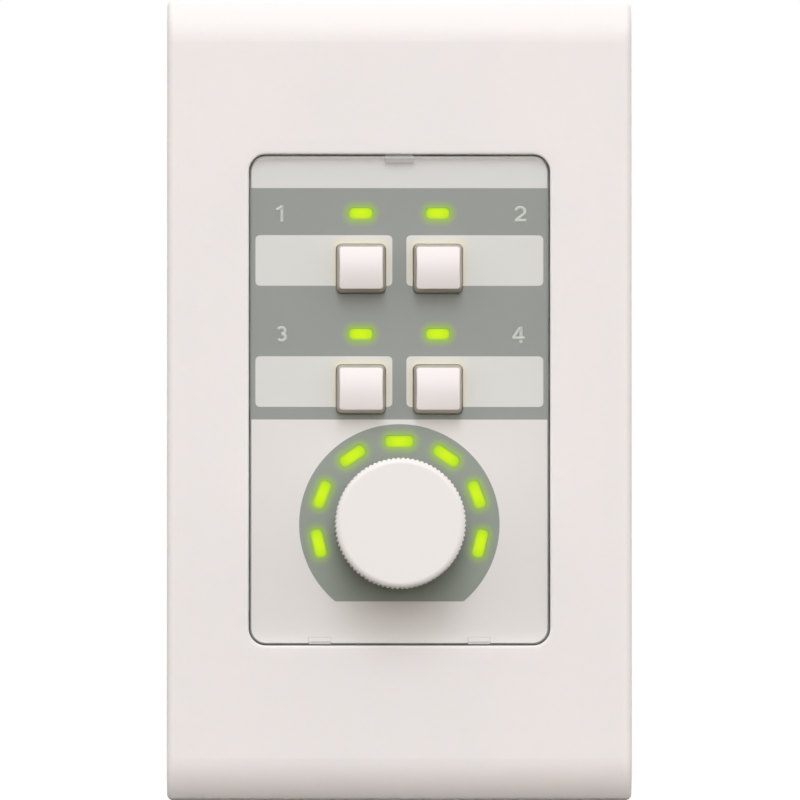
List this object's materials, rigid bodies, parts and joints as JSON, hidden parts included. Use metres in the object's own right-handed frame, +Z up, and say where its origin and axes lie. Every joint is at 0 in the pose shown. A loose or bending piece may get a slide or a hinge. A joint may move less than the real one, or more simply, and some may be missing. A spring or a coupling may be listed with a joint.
{
  "type": "audio control panel",
  "caption": "Wall-mounted remote panel for an audio system: preset keys, a fluted level knob, green lamps, a clip-on wall plate on a steel yoke and network jacks in a case behind.",
  "frame": {"origin": "middle of the wall plane, midway between the two box screws", "axes": "+Z up, +X to the right seen from the front, the front faces -Y, +Y goes into the wall"},
  "size_m": [0.07, 0.0485, 0.1206],
  "materials": {
    "plate_plastic": "fine satin moulding, warm white",
    "clear_plastic": "polished clear moulding",
    "printed_sheet": "printed film behind the clear cover",
    "inner_plastic": "plain moulding",
    "key_plastic": "satin moulding, warm white",
    "knob_plastic": "satin moulding, warm white",
    "light_guide": "clear moulding, lit green",
    "led_resin": "clear resin, lit green",
    "board_laminate": "green solder mask",
    "zinc_steel": "zinc plated",
    "plated_brass": "nickel plated",
    "contact_metal": "gold plated",
    "black_plastic": "plain black moulding",
    "plunger_plastic": "plain moulding",
    "switch_red": "plain red moulding",
    "switch_white": "plain white moulding",
    "capacitor_sleeve": "shrink sleeve"
  },
  "bodies": {
    "panel": {"wall_plate": "plate_plastic", "clear_cover": "clear_plastic", "label_sheet": "printed_sheet", "front_panel": "inner_plastic", "level_light_guide": "light_guide", "key_light_guide_upper": "light_guide", "key_light_guide_lower": "light_guide", "level_leds": "led_resin", "key_leds": "led_resin", "front_board": "board_laminate", "rear_board": "board_laminate", "mounting_yoke": "zinc_steel", "encoder_frame": "zinc_steel", "case_screws": "zinc_steel", "board_screws": "zinc_steel", "encoder_washer": "zinc_steel", "switch_cover_1": "zinc_steel", "switch_cover_2": "zinc_steel", "switch_cover_3": "zinc_steel", "switch_cover_4": "zinc_steel", "board_spacers": "plated_brass", "encoder_nut": "plated_brass", "encoder_bushing": "plated_brass", "jack_in_contacts": "contact_metal", "jack_out_contacts": "contact_metal", "header_pins": "contact_metal", "encoder_pins": "contact_metal", "rear_case": "black_plastic", "jack_in_housing": "black_plastic", "jack_out_housing": "black_plastic", "board_socket": "black_plastic", "board_header": "black_plastic", "encoder_body": "black_plastic", "controller_chip": "black_plastic", "line_drivers": "black_plastic", "switch_base_1": "black_plastic", "switch_base_2": "black_plastic", "switch_base_3": "black_plastic", "switch_base_4": "black_plastic", "dip_switch_body": "switch_red", "capacitors": "capacitor_sleeve"},
    "key_1": {"key_cap_1": "key_plastic", "switch_plunger_1": "plunger_plastic"},
    "key_2": {"key_cap_2": "key_plastic", "switch_plunger_2": "plunger_plastic"},
    "key_3": {"key_cap_3": "key_plastic", "switch_plunger_3": "plunger_plastic"},
    "key_4": {"key_cap_4": "key_plastic", "switch_plunger_4": "plunger_plastic"},
    "knob_turning": {"knob": "knob_plastic", "knob_clip": "zinc_steel", "encoder_shaft": "plated_brass"},
    "dip_1": {"dip_slider_1": "switch_white"},
    "dip_2": {"dip_slider_2": "switch_white"},
    "dip_3": {"dip_slider_3": "switch_white"},
    "dip_4": {"dip_slider_4": "switch_white"}
  },
  "joints": [
    {"name": "key_1_press", "type": "slide", "parent": "panel", "child": "key_1", "axis": [0, 1, 0], "range_m": [0, 0.0005], "stiffness_N_per_m": 3000, "springref_m": -0.0002},
    {"name": "key_2_press", "type": "slide", "parent": "panel", "child": "key_2", "axis": [0, 1, 0], "range_m": [0, 0.0005], "stiffness_N_per_m": 3000, "springref_m": -0.0002},
    {"name": "key_3_press", "type": "slide", "parent": "panel", "child": "key_3", "axis": [0, 1, 0], "range_m": [0, 0.0005], "stiffness_N_per_m": 3000, "springref_m": -0.0002},
    {"name": "key_4_press", "type": "slide", "parent": "panel", "child": "key_4", "axis": [0, 1, 0], "range_m": [0, 0.0005], "stiffness_N_per_m": 3000, "springref_m": -0.0002},
    {"name": "knob_turn", "type": "hinge", "parent": "panel", "child": "knob_turning", "pos_m": [0, 0, -0.01875], "axis": [0, 1, 0], "continuous": true},
    {"name": "dip_1_slide", "type": "slide", "parent": "panel", "child": "dip_1", "axis": [0, 0, 1], "range_m": [0, 0.002]},
    {"name": "dip_2_slide", "type": "slide", "parent": "panel", "child": "dip_2", "axis": [0, 0, 1], "range_m": [0, 0.002]},
    {"name": "dip_3_slide", "type": "slide", "parent": "panel", "child": "dip_3", "axis": [0, 0, 1], "range_m": [0, 0.002]},
    {"name": "dip_4_slide", "type": "slide", "parent": "panel", "child": "dip_4", "axis": [0, 0, 1], "range_m": [0, 0.002]}
  ]
}
